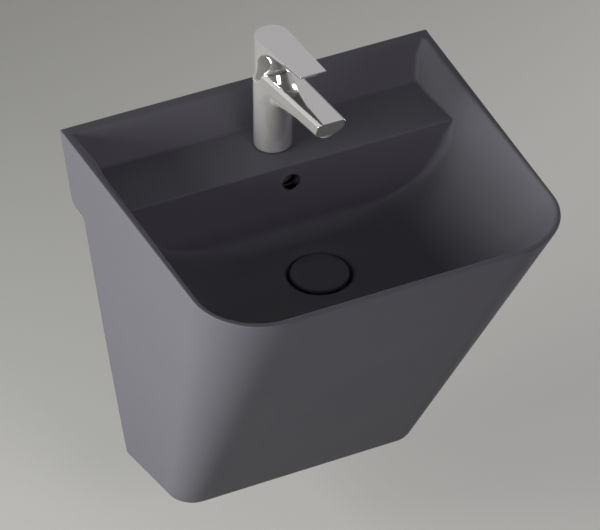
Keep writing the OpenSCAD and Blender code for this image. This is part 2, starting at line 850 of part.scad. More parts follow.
module plug_cap() {
    color("dimgray") translate([0, -drain_y, 0]) difference() {
        translate([0, 0, zd(cap_bottom)]) rotate_extrude($fn = 96) polygon(concat(
            [[0, 0]],
            [for (i = [0 : 6])
                let (a = -90 + 15 * i)
                [cap_r - 2 + 2 * cos(a), 2 + 2 * sin(a)]],
            [for (i = [0 : 6])
                let (a = 15 * i)
                [cap_r - 3 + 3 * cos(a), cap_t - 3 + 3 * sin(a)]],
            [[cap_r * 0.6, cap_t + cap_dome * 0.7], [0, cap_t + cap_dome]]
        ));
        translate([0, 0, zd(cap_bottom) - past])
            cylinder(r = stem_disc_r, h = stem_disc_t + past);
    }
}
module plug_seal() {
    color("black") pipe_z(waste_flange_r - 6, waste_flange_r - 10,
        cap_bottom, plug_seal_bottom, 0, -drain_y);
}
module plug_stem() {
    color("gainsboro") {
        post(stem_disc_r, cap_bottom - stem_disc_t, cap_bottom, 0, -drain_y);
        post(stem_r, cap_bottom - past, click_bottom - 2, 0, -drain_y);
    }
}
// A helical spring of round wire
spring_r = 5;
spring_wire_r = 0.6;
spring_turns = 5;
spring_steps = 14;
spring_sides = 6;
module plug_spring() {
    top = cap_bottom + spring_wire_r + 0.1;
    bottom = click_top - spring_wire_r - 0.1;
    n = spring_turns * spring_steps;
    translate([0, -drain_y, 0]) color("silver") loft([for (k = [0 : n])
        let (a = -360 * k / spring_steps, z = zd(mix(top, bottom, k / n)))
        [for (i = [0 : spring_sides - 1])
            let (b = 360 * i / spring_sides, r = spring_r + spring_wire_r * cos(b))
            [r * cos(a), r * sin(a), z + spring_wire_r * sin(b)]]]);
}
module click_cartridge() {
    color("whitesmoke") pipe_z(click_r, stem_r + run, click_top, click_bottom, 0, -drain_y);
}
module waste_body() {
    color("gainsboro") difference() {
        union() {
            difference() {
                union() {
                    post(waste_flange_r, flange_top, flange_bottom, 0, -drain_y);
                    post(waste_r, flange_bottom, waste_end, 0, -drain_y);
                }
                post(waste_r - waste_tube_t, flange_top - past, waste_end + past, 0, -drain_y);
            }
            // Spider that carries the click cartridge
            post(click_r + 2, spider_top, spider_top + spider_h, 0, -drain_y);
            for (a = [45, 135])
                translate([0, -drain_y, zd(spider_top + spider_t + 1)]) rotate(a)
                    translate([-waste_r + waste_tube_t / 2, -spider_arm_w / 2, 0])
                        cube([2 * waste_r - waste_tube_t, spider_arm_w, spider_t]);
        }
        post(click_r, spider_top - past, spider_top + spider_h + past, 0, -drain_y);
        // Overflow slots
        for (a = [0 : 90 : 270]) translate([0, -drain_y, zd(duct_bottom)]) rotate(a)
            translate([waste_r - waste_tube_t - past, -slot_w / 2, 0])
                cube([waste_tube_t + 3 * past, slot_w, duct_d - 4]);
    }
}
module waste_gasket() {
    color("black") pipe_z(waste_flange_r - 2, waste_r + run, flange_bottom, recess_bottom,
        0, -drain_y);
}
cone_seal_h = 9;
module waste_cone_seal() {
    color("black") difference() {
        translate([0, -drain_y, zd(boss_bottom + cone_seal_h)])
            cylinder(r1 = waste_r + 10, r2 = waste_r + 7, h = cone_seal_h);
        post(waste_r + run, boss_bottom - past, boss_bottom + cone_seal_h + past, 0, -drain_y);
    }
}
back_nut_h = 9;
module waste_back_nut() {
    top = boss_bottom + cone_seal_h;
    color("goldenrod") difference() {
        translate([0, -drain_y, zd(top + back_nut_h)])
            cylinder(r = waste_r + 11, h = back_nut_h, $fn = 8);
        post(waste_r + run, top - past, top + back_nut_h + past, 0, -drain_y);
    }
}

// --- Trap -------------------------------------------------------------------
pipe_t = 1.5;
lip = 3;
washer_t = 2;
dip_flange_t = 2;
inlet_nut_bottom = waste_end + washer_t + dip_flange_t + lip;
inlet_nut_top = inlet_nut_bottom - 22;
top_nut_top = inlet_nut_bottom + 2;
top_nut_bottom = top_nut_top + 16;
spigot_top = top_nut_top + lip + 3;
spigot_r = 20;
bottle_top = top_nut_bottom;
bottle_wall = 2;
bottle_bottom = bottle_top + bottle_h;
outlet_depth = bottle_top + 21;
cup_seal_t = 1.5;
cup_h = 14;
dip_bottom = bottle_bottom - 2;
outlet_spigot_end = -drain_y + bottle_r + 14;
outlet_seal_t = 3;

module trap_inlet_nut() {
    color("gainsboro") difference() {
        translate([0, -drain_y, zd(inlet_nut_bottom)])
            cylinder(r = waste_r + 4.5, h = inlet_nut_bottom - inlet_nut_top);
        post(waste_r + run, inlet_nut_top - past, inlet_nut_bottom - lip, 0, -drain_y);
        post(pipe_r + 0.4, inlet_nut_top, inlet_nut_bottom + past, 0, -drain_y);
    }
}
module trap_inlet_washer() {
    color("black") pipe_z(waste_r - 0.2, pipe_r - 0.5, waste_end, waste_end + washer_t,
        0, -drain_y);
}
module trap_dip_tube() {
    top = waste_end + washer_t;
    color("gainsboro") difference() {
        union() {
            post(waste_r - 0.2, top, top + dip_flange_t, 0, -drain_y);
            post(pipe_r, top, dip_bottom, 0, -drain_y);
        }
        post(pipe_r - pipe_t, top - past, dip_bottom + past, 0, -drain_y);
    }
}
module trap_top_seal() {
    color("black") pipe_z(spigot_r - 0.3, pipe_r + run, top_nut_top + lip, spigot_top,
        0, -drain_y);
}
module trap_top_nut() {
    color("gainsboro") difference() {
        post(spigot_r + 4, top_nut_top, top_nut_bottom, 0, -drain_y);
        post(spigot_r + run, top_nut_top + lip, top_nut_bottom + past, 0, -drain_y);
        post(pipe_r + 0.4, top_nut_top - past, top_nut_bottom, 0, -drain_y);
    }
}
module trap_body() {
    color("gainsboro") difference() {
        union() {
            post(bottle_r, bottle_top, bottle_bottom, 0, -drain_y);
            post(spigot_r, spigot_top, bottle_top + past, 0, -drain_y);
            bar_y(spigot_r, -drain_y, outlet_spigot_end, 0, zd(outlet_depth));
        }
        post(bottle_r - bottle_wall, bottle_top + 3, bottle_bottom + past, 0, -drain_y);
        post(pipe_r + 0.4, spigot_top - past, bottle_bottom, 0, -drain_y);
        bar_y(pipe_r + 0.4, -drain_y, outlet_spigot_end + past, 0, zd(outlet_depth));
    }
}
module trap_cup_seal() {
    color("black") pipe_z(bottle_r, bottle_r - bottle_wall - 0.2,
        bottle_bottom, bottle_bottom + cup_seal_t, 0, -drain_y);
}
module trap_cup() {
    top = bottle_bottom + cup_seal_t;
    inner_r = bottle_r - bottle_wall - 0.3;
    color("gainsboro") difference() {
        union() {
            post(bottle_r, top, top + cup_h, 0, -drain_y);
            post(inner_r, bottle_bottom - 6, top, 0, -drain_y);
        }
        post(inner_r - bottle_wall, bottle_bottom - 6 - past, top + cup_h - 3, 0, -drain_y);
    }
}
module trap_outlet_seal() {
    color("black") pipe_y(spigot_r - 0.3, pipe_r + run,
        outlet_spigot_end, outlet_spigot_end + outlet_seal_t, 0, zd(outlet_depth));
}
module trap_outlet_nut() {
    end = outlet_spigot_end + outlet_seal_t + lip;
    color("gainsboro") difference() {
        bar_y(spigot_r + 4, end - 18, end, 0, zd(outlet_depth));
        bar_y(spigot_r + run, end - 18 - past, end - lip, 0, zd(outlet_depth));
        bar_y(pipe_r + 0.4, end - 18, end + past, 0, zd(outlet_depth));
    }
}
// How far the outlet pipe reaches into the bottle's spigot
outlet_pipe_in = 12;
// Insertion mark turned into the pipe at the wall's face
mark_w = 1;
mark_t = 0.4;
module trap_outlet_pipe() {
    color("gainsboro") difference() {
        pipe_y(pipe_r, pipe_r - pipe_t, outlet_spigot_end - outlet_pipe_in, pipe_past_wall,
            0, zd(outlet_depth));
        pipe_y(pipe_r + past, pipe_r - mark_t, 0, mark_w, 0, zd(outlet_depth));
    }
}
rosette_t = 9;
module wall_rosette() {
    color("gainsboro") translate([0, 0, zd(outlet_depth)]) rotate([90, 0, 0])
        rotate_extrude() polygon([
            [pipe_r + run, 0], [rosette_r, 0], [rosette_r, 1], [rosette_r - 3, 3],
            [pipe_r + 6, rosette_t - 3], [pipe_r + 2, rosette_t], [pipe_r + run, rosette_t]
        ]);
}

basin();
overflow_ring();
fixing_bushes();
tap_body();
tap_base_gasket();
tap_stud();
stud_gasket();
stud_plate();
stud_nut();
cartridge();
cartridge_seal();
fixed_disc();
moving_disc();
disc_slider();
cartridge_carrier();
pivot_pin();
cartridge_nut();
spindle();
lever_handle();
lever_screw();
index_plug();
aerator_housing();
aerator_insert();
waste_body();
waste_gasket();
waste_cone_seal();
waste_back_nut();
click_cartridge();
plug_spring();
plug_stem();
plug_cap();
plug_seal();
trap_inlet_nut();
trap_inlet_washer();
trap_dip_tube();
trap_top_nut();
trap_top_seal();
trap_body();
trap_cup_seal();
trap_cup();
trap_outlet_nut();
trap_outlet_seal();
trap_outlet_pipe();
wall_rosette();
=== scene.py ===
# A wall-hung half-pedestal washbasin in matt ceramic with a chrome mixer tap.
# Everything is modelled in millimetres in the frame of the CAD model (origin on the
# wall between the fixing holes, +Z up, -Y away from the wall) and stored in metres.
import json
import math

import bmesh
import bpy
import numpy as np
from mathutils import Matrix, Vector


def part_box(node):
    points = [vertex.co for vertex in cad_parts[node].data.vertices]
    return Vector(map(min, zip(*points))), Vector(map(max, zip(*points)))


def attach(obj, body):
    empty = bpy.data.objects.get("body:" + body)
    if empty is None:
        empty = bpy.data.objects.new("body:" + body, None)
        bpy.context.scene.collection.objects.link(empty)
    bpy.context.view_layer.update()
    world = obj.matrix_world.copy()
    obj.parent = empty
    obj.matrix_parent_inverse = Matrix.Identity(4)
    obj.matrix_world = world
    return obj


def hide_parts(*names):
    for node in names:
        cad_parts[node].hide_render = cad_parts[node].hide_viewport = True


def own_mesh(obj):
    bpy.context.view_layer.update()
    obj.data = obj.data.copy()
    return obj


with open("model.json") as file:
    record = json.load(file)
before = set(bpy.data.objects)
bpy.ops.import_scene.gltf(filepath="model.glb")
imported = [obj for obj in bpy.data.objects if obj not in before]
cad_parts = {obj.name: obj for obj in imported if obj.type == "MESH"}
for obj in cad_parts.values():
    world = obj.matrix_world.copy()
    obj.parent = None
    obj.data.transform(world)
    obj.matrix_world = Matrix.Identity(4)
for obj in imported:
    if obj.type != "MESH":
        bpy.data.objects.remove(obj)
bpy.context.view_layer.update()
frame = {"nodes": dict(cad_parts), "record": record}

MM = 0.001
RIM = 88.0              # height of the rim
DECK = 43.0             # height of the tap deck
TAP_Y = -80.0           # axis of the tap
DRAIN_Y = -216.0        # axis of the drain


# ---------------------------------------------------------------- camera
def make_camera():
    """A long lens from the left front, well above the rim."""
    data = bpy.data.cameras.new("camera")
    data.sensor_width = 36.0
    data.lens = 241.67
    data.clip_end = 60.0
    cam = bpy.data.objects.new("camera", data)
    right = Vector((0.90606, -0.42316, 0.0))
    up = Vector((0.26549, 0.56845, 0.77872))
    back = -Vector((0.32952, 0.70556, -0.62739))
    place = Vector((-1.6487, -3.6894, 3.0455))
    cam.matrix_world = Matrix((
        (right.x, up.x, back.x, place.x),
        (right.y, up.y, back.y, place.y),
        (right.z, up.z, back.z, place.z),
        (0.0, 0.0, 0.0, 1.0),
    ))
    bpy.context.scene.collection.objects.link(cam)
    bpy.context.scene.camera = cam


make_camera()


# ---------------------------------------------------------------- small tools
def smoothstep(x):
    """0 below 0, 1 above 1, with a soft start and end."""
    x = min(max(x, 0.0), 1.0)
    return x * x * (3.0 - 2.0 * x)


def mix(a, b, t):
    """a at t = 0 and b at t = 1."""
    return a + (b - a) * t


def new_object(name, verts, faces, smooth=True):
    """A mesh object from points in millimetres."""
    mesh = bpy.data.meshes.new(name)
    mesh.from_pydata([(x * MM, y * MM, z * MM) for x, y, z in verts], [], faces)
    mesh.validate()
    bm = bmesh.new()
    bm.from_mesh(mesh)
    bmesh.ops.recalc_face_normals(bm, faces=bm.faces)
    bm.to_mesh(mesh)
    bm.free()
    if smooth:
        mesh.polygons.foreach_set("use_smooth", [True] * len(mesh.polygons))
    obj = bpy.data.objects.new(name, mesh)
    bpy.context.scene.collection.objects.link(obj)
    return obj


def mark_sharp(obj, degrees):
    """Edges bent by more than the angle shade as edges."""
    bm = bmesh.new()
    bm.from_mesh(obj.data)
    limit = math.radians(degrees)
    for edge in bm.edges:
        sharp = len(edge.link_faces) != 2 or edge.calc_face_angle(0.0) > limit
        edge.smooth = not sharp
    bm.to_mesh(obj.data)
    bm.free()


def cut(target, cutter):
    """Cuts one closed solid out of another, at once. The cutter is removed."""
    mod = target.modifiers.new("cut", "BOOLEAN")
    mod.operation = "DIFFERENCE"
    mod.solver = "EXACT"
    mod.object = cutter
    bpy.context.view_layer.update()
    graph = bpy.context.evaluated_depsgraph_get()
    mesh = bpy.data.meshes.new_from_object(target.evaluated_get(graph))
    target.modifiers.clear()
    old = target.data
    target.data = mesh
    bpy.data.meshes.remove(old)
    bpy.data.objects.remove(cutter)


def prism(name, profile, lo, hi, axis):
    """A straight solid: the profile's points (a, b) swept along an axis from lo to hi."""
    n = len(profile)
    order = {"x": lambda a, b, c: (c, a, b), "y": lambda a, b, c: (a, c, b),
             "z": lambda a, b, c: (a, b, c)}[axis]
    verts = [order(a, b, lo) for a, b in profile] + [order(a, b, hi) for a, b in profile]
    faces = [list(range(n)), list(range(2 * n - 1, n - 1, -1))]
    faces += [[i, (i + 1) % n, (i + 1) % n + n, i + n] for i in range(n)]
    return new_object(name, verts, faces, smooth=False)


def circle(r, n=96, ca=0.0, cb=0.0):
    """n points round the centre (ca, cb)."""
    return [(ca + r * math.cos(2 * math.pi * i / n), cb + r * math.sin(2 * math.pi * i / n))
            for i in range(n)]


def rect(a0, a1, b0, b1):
    """The corners of a rectangle."""
    return [(a0, b0), (a1, b0), (a1, b1), (a0, b1)]


def quarter(n):
    """n angles from 0 to a right angle."""
    return [math.pi / 2 * i / (n - 1) for i in range(n)]


def bridge(a, b):
    """Quads between two loops of vertex numbers."""
    n = len(a)
    return [(a[i], a[(i + 1) % n], b[(i + 1) % n], b[i]) for i in range(n)]


class Shell:
    """A surface that grows ring by ring."""

    def __init__(self):
        self.verts = []
        self.faces = []
        self.last = None

    def add(self, points):
        """Adds points and returns their numbers."""
        start = len(self.verts)
        self.verts.extend(points)
        return list(range(start, start + len(points)))

    def ring(self, points):
        """Adds a loop and joins it to the loop before it."""
        ids = self.add(points)
        if self.last is not None:
            self.faces.extend(bridge(self.last, ids))
        self.last = ids
        return ids


def loft(name, rings):
    """A closed solid through rings with the same number of points."""
    shell = Shell()
    ends = [shell.ring(points) for points in rings]
    shell.faces.append(ends[0])
    shell.faces.append(list(reversed(ends[-1])))
    return new_object(name, shell.verts, shell.faces)


# ---------------------------------------------------------------- ceramic basin
# Depths are measured down from the rim
BASIN_H = 523.5
DECK_D = RIM - DECK
FLOOR_D = 149.5
WALL = 12.0
# Half widths, reach and corner radius of the outside, at the rim and at the foot
BACK_HALF = (250.0, 195.0)
FRONT_HALF = (233.5, 167.0)
REACH = (456.0, 161.0)
CORNER_R = (88.0, 35.0)
BACK_R = 1.2            # upright edges against the wall
# Half width and taper of the mouth, its reach, and its corner radius at the rim and below
MOUTH_HALF, MOUTH_TAPER, MOUTH_REACH = 238.7, 0.0217, 446.0
MOUTH_CORNER_R = (80.0, 50.0)
MOUTH_BACK_R = 5.0      # its upright corners at the back
# Lean of a wall of the bowl, the depth from which it rounds into the floor, and how far
# in the round reaches
SIDE_WALL = (0.27, 60.0, 110.0)
FRONT_WALL = (0.604, 80.0, 70.0)
SCOOP_WALL = (0.08, 127.5, 22.0)
# The mouth's back row at the rim, and how much further in front it stands at the deck
MOUTH_BACK, BACK_IN = -16.0, 23.0
# Beside the deck the side wall stands further in, by STEP_W from a depth of STEP_D on.
# The step fades out over FADE_L in front of FADE_Y
STEP_W, STEP_D, FADE_Y, FADE_L = 7.0, 18.0, -45.0, 86.0
# Over this length the fillet at the deck's sides fades out towards the deck's edge
FILLET_FADE = 13.0
# Edge radii: foot, outside of the rim, inside of the rim, deck's back corner, deck's edge
FOOT_R, RIM_R, LIP_R, DECK_R, EDGE_R = 2.5, 1.7, 3.4, 3.4, 2.2
NEAR = 0.6              # a last ring this close to a rounded edge keeps the wall flat
# Where the deck's front edge meets the side wall, and the scoop below it
EDGE_Y = -129.4
SCOOP_Y = -131.0
# The upright corner between scoop and side wall: its radius at the deck's edge, the gain
# over a length below that edge, and the gain over a length from a depth on
VALLEY_R = 0.4
VALLEY_GAIN, VALLEY_L = 11.6, 22.0
FLOOR_GAIN, FLOOR_GAIN_D, FLOOR_GAIN_L = 30.0, 112.0, 38.0
# The dish of the floor around the drain, and the recess that holds the plug's cap
DISH_R, DISH_D = 47.5, 1.7
RECESS = ((46.0, 151.45), (44.6, 151.85), (43.4, 152.45), (42.4, 153.3), (41.7, 154.4),
          (41.3, 155.8), (41.0, 157.6), (40.5, 160.0), (37.2, 168.6), (36.3, 170.9),
          (35.6, 171.6), (34.5, 171.9), (30.0, 171.9))
# Radii of the holes, the overflow's depth and the distance of the wall fixings
TAP_HOLE_R, WASTE_HOLE_R, OVERFLOW_R, FIXING_R = 17.5, 23.0, 12.0, 7.9
OVERFLOW_D = 69.0
FIXING_X = 140.0
# The overflow duct's half width inside and outside, and how much narrower its level part
# is, so that no two faces coincide
DUCT_HALF, DUCT_OUTER = 13.5, 19.5
DUCT_LESS, DUCT_OUTER_LESS = 0.05, 0.1
# The ceramic around the drain and the wall block: its radius, and where each ends
BOSS_R, BOSS_D, BLOCK_D = 40.0, 195.9, 118.0
# The gap between skirt and wall: its top, its depth, and the radii of the block's foot
GAP_D, GAP_Y, GAP_R_WALL, GAP_R_SKIRT = 106.0, -33.0, 12.0, 4.0
SKIN_D = 149.0          # at this depth the skin under the bowl is WALL thick
SHARP_ANGLE = 33        # edges bent by more than this shade as edges, in degrees
BEYOND = 300            # half length of a cut that goes right through
# Points along each stretch of half an outline: back row, back corner, side beside the
# deck, rest of the side, front corner, front
N_ROW, N_BACK, N_SIDE1, N_SIDE2, N_FRONT, N_LINE = 22, 9, 12, 34, 22, 12


def half_ring(half_at, back, back_r, front, front_r, slope, split=None):
    """The right half of an outline: along the back, round the back corner, along the side,
    round the front corner and along the front. half_at(y) is the half width at y."""
    pts = []
    side_y = back - back_r
    side_x = half_at(side_y)
    cx = side_x - back_r
    for i in range(N_ROW):
        pts.append((cx * i / N_ROW, back))
    for i in range(N_BACK):
        a = math.pi / 2 * (1 - i / (N_BACK - 1))
        pts.append((cx + back_r * math.cos(a), side_y + back_r * math.sin(a)))
    beta = math.atan(slope)
    cy = front + front_r
    line_y = cy - front_r * math.sin(beta)
    fx = half_at(line_y) - front_r * math.cos(beta)
    start = side_y
    if split is not None:
        for i in range(N_SIDE1 + 1):
            y = mix(start, split, (i + 1) / (N_SIDE1 + 1))
            pts.append((half_at(y), y))
        start = split
    for i in range(N_SIDE2):
        y = mix(start, line_y, (i + 1) / (N_SIDE2 + 1))
        pts.append((half_at(y), y))
    for i in range(N_FRONT):
        a = -beta - (math.pi / 2 - beta) * i / (N_FRONT - 1)
        pts.append((fx + front_r * math.cos(a), cy + front_r * math.sin(a)))
    for i in range(N_LINE):
        pts.append((fx * (1 - (i + 1) / N_LINE), front))
    return pts


def full_ring(half, depth):
    """Both halves as one closed loop at a depth below the rim."""
    z = RIM - depth
    right = [(x, y, z) for x, y in half]
    left = [(-x, y, z) for x, y in reversed(half[1:-1])]
    return right + left


def outer_sizes(depth, inset, reach_inset):
    """Half widths, reach, corner radius and slope of the outside, moved in by inset."""
    t = depth / BASIN_H
    back_half = mix(*BACK_HALF, t) - inset
    front_half = mix(*FRONT_HALF, t) - inset
    reach = mix(*REACH, t) - inset * reach_inset
    return back_half, reach, mix(*CORNER_R, t) - inset, (back_half - front_half) / reach


def outer_ring(depth, inset=0.0):
    """The outside at a depth, moved in by inset, at the back by BACK_R at most."""
    back_half, reach, radius, slope = outer_sizes(depth, inset, 1.15)
    half = half_ring(lambda y: back_half + slope * y, -min(inset, BACK_R), BACK_R,
                     -reach, radius, slope, split=EDGE_Y)
    return full_ring(half, depth)


def ellipse_in(depth, start, end, width):
    """How far a wall that rounds into the floor stands in at a depth."""
    if depth <= start:
        return 0.0
    u = (min(depth, end) - start) / (end - start)
    return width * (1.0 - math.sqrt(max(0.0, 1.0 - u * u)))


def wall_in(depth, lean, start, width):
    """How far a wall of the bowl stands in at a depth."""
    return lean * depth + ellipse_in(depth, start, FLOOR_D, width)


def corner_r(depth):
    """Radius of the front corners inside."""
    return mix(*MOUTH_CORNER_R, (depth / FLOOR_D) ** 2)


def mouth_ring(depth, out=0.0, fillet=0.0):
    """The mouth above the deck at a depth, moved out by out. fillet rounds its foot."""

    def half_at(y):
        beside_deck = 1.0 - smoothstep((FADE_Y - y) / FADE_L)
        half = MOUTH_HALF + MOUTH_TAPER * y - wall_in(depth, *SIDE_WALL)
        half = half - STEP_W * smoothstep(depth / STEP_D) * beside_deck + out
        return half - fillet * smoothstep((y - EDGE_Y) / FILLET_FADE)

    back = MOUTH_BACK - BACK_IN * depth / DECK_D + out
    front = -(MOUTH_REACH - wall_in(depth, *FRONT_WALL)) - out
    return full_ring(half_ring(half_at, back - fillet, MOUTH_BACK_R + out, front,
                               corner_r(depth) + out, MOUTH_TAPER, split=EDGE_Y), depth)


def scoop_y(depth):
    """The wall below the deck's front edge."""
    lean, start, width = SCOOP_WALL
    return SCOOP_Y - lean * (depth - DECK_D) - ellipse_in(depth, start, FLOOR_D, width)


def valley_r(depth):
    """Radius of the upright corner between the scoop and the side wall. It opens below
    the deck's edge, and once more where the walls round into the floor."""
    return VALLEY_R + VALLEY_GAIN * smoothstep((depth - DECK_D) / VALLEY_L) \
        + FLOOR_GAIN * smoothstep((depth - FLOOR_GAIN_D) / FLOOR_GAIN_L)


def bowl_ring(depth, row=None, out=0.0):
    """The bowl in front of the deck, moved out by about out. row places its back row,
    where that isn't the scoop."""
    back = (scoop_y(depth) if row is None else row) + out
    half = MOUTH_HALF - wall_in(depth, *SIDE_WALL) + out
    front = -(MOUTH_REACH - wall_in(depth, *FRONT_WALL)) - out * 0.8
    return full_ring(half_ring(lambda y: half + MOUTH_TAPER * y, back,
                               valley_r(depth) + out * 0.5, front,
                               corner_r(depth) + out * 0.5, MOUTH_TAPER), depth)


def add_outside(shell):
    """From the foot's edge up to the rim."""
    foot = [shell.ring(outer_ring(BASIN_H - FOOT_R * (1 - math.cos(a)),
                                  FOOT_R * (1 - math.sin(a)))) for a in quarter(5)]
    shell.faces.append(list(reversed(foot[0])))
    for i in range(1, 16):
        shell.ring(outer_ring(mix(BASIN_H - FOOT_R, RIM_R + NEAR, i / 15)))
    for a in quarter(6):
        shell.ring(outer_ring(RIM_R * (1 - math.sin(a)), RIM_R * (1 - math.cos(a))))


def add_mouth(shell):
    """Over the rim and down to the deck."""
    for a in quarter(8):
        shell.ring(mouth_ring(LIP_R * (1 - math.cos(a)), LIP_R * (1 - math.sin(a))))
    for i in range(1, 11):
        shell.ring(mouth_ring(mix(LIP_R, DECK_D - DECK_R - NEAR, i / 10)))
    for a in quarter(7):
        shell.ring(mouth_ring(DECK_D - DECK_R * (1 - math.sin(a)),
                              fillet=DECK_R * (1 - math.cos(a))))


def edge_row(a):
    """Back row of the bowl on the rounded edge of the deck."""
    return EDGE_Y + 0.4 - EDGE_R * math.sin(a)


def add_deck(shell):
    """A grid between the back row, the sides and the first row of the bowl. The bowl's
    first ring shares its points with the mouth's last ring, apart from that row."""
    outer = shell.last
    verts = shell.verts
    n_half = N_ROW + N_BACK
    n_full = len(outer)
    points = bowl_ring(DECK_D, row=edge_row(0.0))
    n_bowl = len(points)
    shared = {i % n_bowl: outer[i + N_SIDE1 + 1]
              for i in range(n_half - 1, n_bowl - (n_half - 1) + 1)}
    first = [shared[i] if i in shared else shell.add([p])[0] for i, p in enumerate(points)]

    def row_of(loop):
        """The loop's back row, from left to right."""
        total = len(loop)
        left = [loop[(total - i) % total] for i in range(n_half - 1, 0, -1)]
        return left + [loop[i] for i in range(n_half)]

    back_row = row_of(outer)
    front_row = row_of(first)
    right_col = [outer[n_half + i] for i in range(N_SIDE1)]
    left_col = [outer[(n_full - n_half - i) % n_full] for i in range(N_SIDE1)]
    cols = len(back_row)
    rows = [back_row]
    for j in range(N_SIDE1):
        s = (verts[right_col[j]][1] - verts[back_row[-1]][1]) / \
            (verts[front_row[-1]][1] - verts[back_row[-1]][1])
        ids = [left_col[j]]
        for i in range(1, cols - 1):
            b, f = verts[back_row[i]], verts[front_row[i]]
            w = i / (cols - 1)
            x = mix(b[0], f[0], s)
            y = mix(b[1], f[1], s)
            # Near the sides the grid follows the curve of the wall
            for col, edge, share in ((left_col, 0, 1 - w), (right_col, cols - 1, w)):
                e0, e1 = verts[back_row[edge]], verts[front_row[edge]]
                x += share ** 6 * (verts[col[j]][0] - mix(e0[0], e1[0], s))
                y += share ** 6 * (verts[col[j]][1] - mix(e0[1], e1[1], s))
            ids += shell.add([(x, y, DECK)])
        ids.append(right_col[j])
        rows.append(ids)
    rows.append(front_row)
    for a, b in zip(rows, rows[1:]):
        for i in range(cols - 1):
            shell.faces.append((a[i], a[i + 1], b[i + 1], b[i]))
    shell.last = first


def add_bowl(shell):
    """From the deck's edge down to the floor, and to the bottom of the cap's recess."""
    for a in quarter(6)[1:]:
        shell.ring(bowl_ring(DECK_D + EDGE_R * (1 - math.cos(a)), row=edge_row(a)))
    start = SIDE_WALL[1]
    for depth in (50.0, 55.0, start):
        shell.ring(bowl_ring(depth))
    for a in quarter(35)[1:]:
        shell.ring(bowl_ring(start + (FLOOR_D - start) * math.sin(a)))
    # The floor, dished towards the drain, turns from the bowl's outline into a circle
    edge = bowl_ring(FLOOR_D)
    aims = [Vector((x, y - DRAIN_Y)).normalized() for x, y, _ in edge]
    steps = 10
    for i in range(1, steps + 1):
        s = i / steps
        z = RIM - FLOOR_D - DISH_D * s ** 1.6
        shell.ring([(mix(p[0], aim.x * DISH_R, s), mix(p[1], DRAIN_Y + aim.y * DISH_R, s), z)
                    for p, aim in zip(edge, aims)])
    for r, depth in RECESS:
        shell.ring([(aim.x * r, DRAIN_Y + aim.y * r, RIM - depth) for aim in aims])
    shell.faces.append(list(shell.last))


def hollow():
    """The hollow inside the skirt with the bowl, the wall block and the ducts left out."""
    rings = []
    for i in range(13):
        depth = mix(57.0, BASIN_H + 2.0, i / 12)
        back_half, reach, radius, slope = outer_sizes(depth, WALL, 1.148)
        rings.append(full_ring(half_ring(lambda y: back_half + slope * y, 3.0, 0.5, -reach,
                                         radius, slope), depth))
    body = loft("hollow", rings)
    # The underside of the bowl starts above the deck's underside and ends at the floor's
    depths = [40.0] + [DECK_D + (FLOOR_D - DECK_D) * math.sin(a) for a in quarter(25)[1:]]
    skin = [[(x, y, RIM - (RIM - z) * (1 + WALL / SKIN_D)) for x, y, z in bowl_ring(d, out=WALL)]
            for d in depths]
    cut(body, loft("skin", skin))
    block = rect(-BEYOND, BEYOND, -16.0, 20.0)
    boss = circle(BOSS_R, 96, 0.0, DRAIN_Y)
    cut(body, prism("block", block, RIM - BLOCK_D, RIM + 5, "z"))
    cut(body, prism("boss", boss, RIM - BOSS_D, RIM - 140, "z"))
    # The ceramic around the overflow duct, upright behind the bowl and level to the drain
    half = DUCT_OUTER
    cut(body, prism("duct", rect(-half, half, -132.9, -104.9), RIM - 192.9, RIM - 51, "z"))
    half -= DUCT_OUTER_LESS
    cut(body, prism("duct", rect(-half, half, DRAIN_Y, -104.8), RIM - 192.8, RIM - 150, "z"))
    return body


def gap_profile():
    """The gap between the skirt and the wall, with the rounded foot of the wall block."""
    top = RIM - GAP_D
    below = RIM - BASIN_H - 16.5
    big, small = GAP_R_WALL, GAP_R_SKIRT
    points = [(20.0, top)]
    points += [(big * math.cos(a) - big, top - big * math.sin(a)) for a in quarter(9)]
    points += [(GAP_Y + small * (1.0 - math.sin(a)), top - big - small * (1.0 - math.cos(a)))
               for a in quarter(5)]
    return points + [(GAP_Y, below), (20.0, below)]


def make_basin():
    """The whole ceramic: its skin ring by ring, then the hollow behind it and the holes."""
    shell = Shell()
    add_outside(shell)
    add_mouth(shell)
    add_deck(shell)
    add_bowl(shell)
    body = new_object("basin_ceramic", shell.verts, shell.faces)
    cut(body, prism("gap", gap_profile(), -BEYOND, BEYOND, "x"))
    cut(body, hollow())
    tap_hole = circle(TAP_HOLE_R, 96, 0.0, TAP_Y)
    waste_hole = circle(WASTE_HOLE_R, 96, 0.0, DRAIN_Y)
    overflow = circle(OVERFLOW_R, 96, 0.0, RIM - OVERFLOW_D)
    cut(body, prism("tap_hole", tap_hole, DECK - 20, DECK + 10, "z"))
    cut(body, prism("waste_hole", waste_hole, RIM - 210, RIM - 165, "z"))
    cut(body, prism("overflow", overflow, -150, -115, "y"))
    # The overflow duct, upright behind the bowl and level to the drain
    half = DUCT_HALF
    cut(body, prism("duct", rect(-half, half, -120.9, -110.9), RIM - 186.9, RIM - 55, "z"))
    half -= DUCT_LESS
    cut(body, prism("duct", rect(-half, half, DRAIN_Y, -112), RIM - 186.8, RIM - 176.9, "z"))
    for x in (-FIXING_X, FIXING_X):
        cut(body, prism("fixing", circle(FIXING_R, 48, x, 0.0), -30, 10, "y"))
    body.data.polygons.foreach_set("use_smooth", [True] * len(body.data.polygons))
    mark_sharp(body, SHARP_ANGLE)
    return body


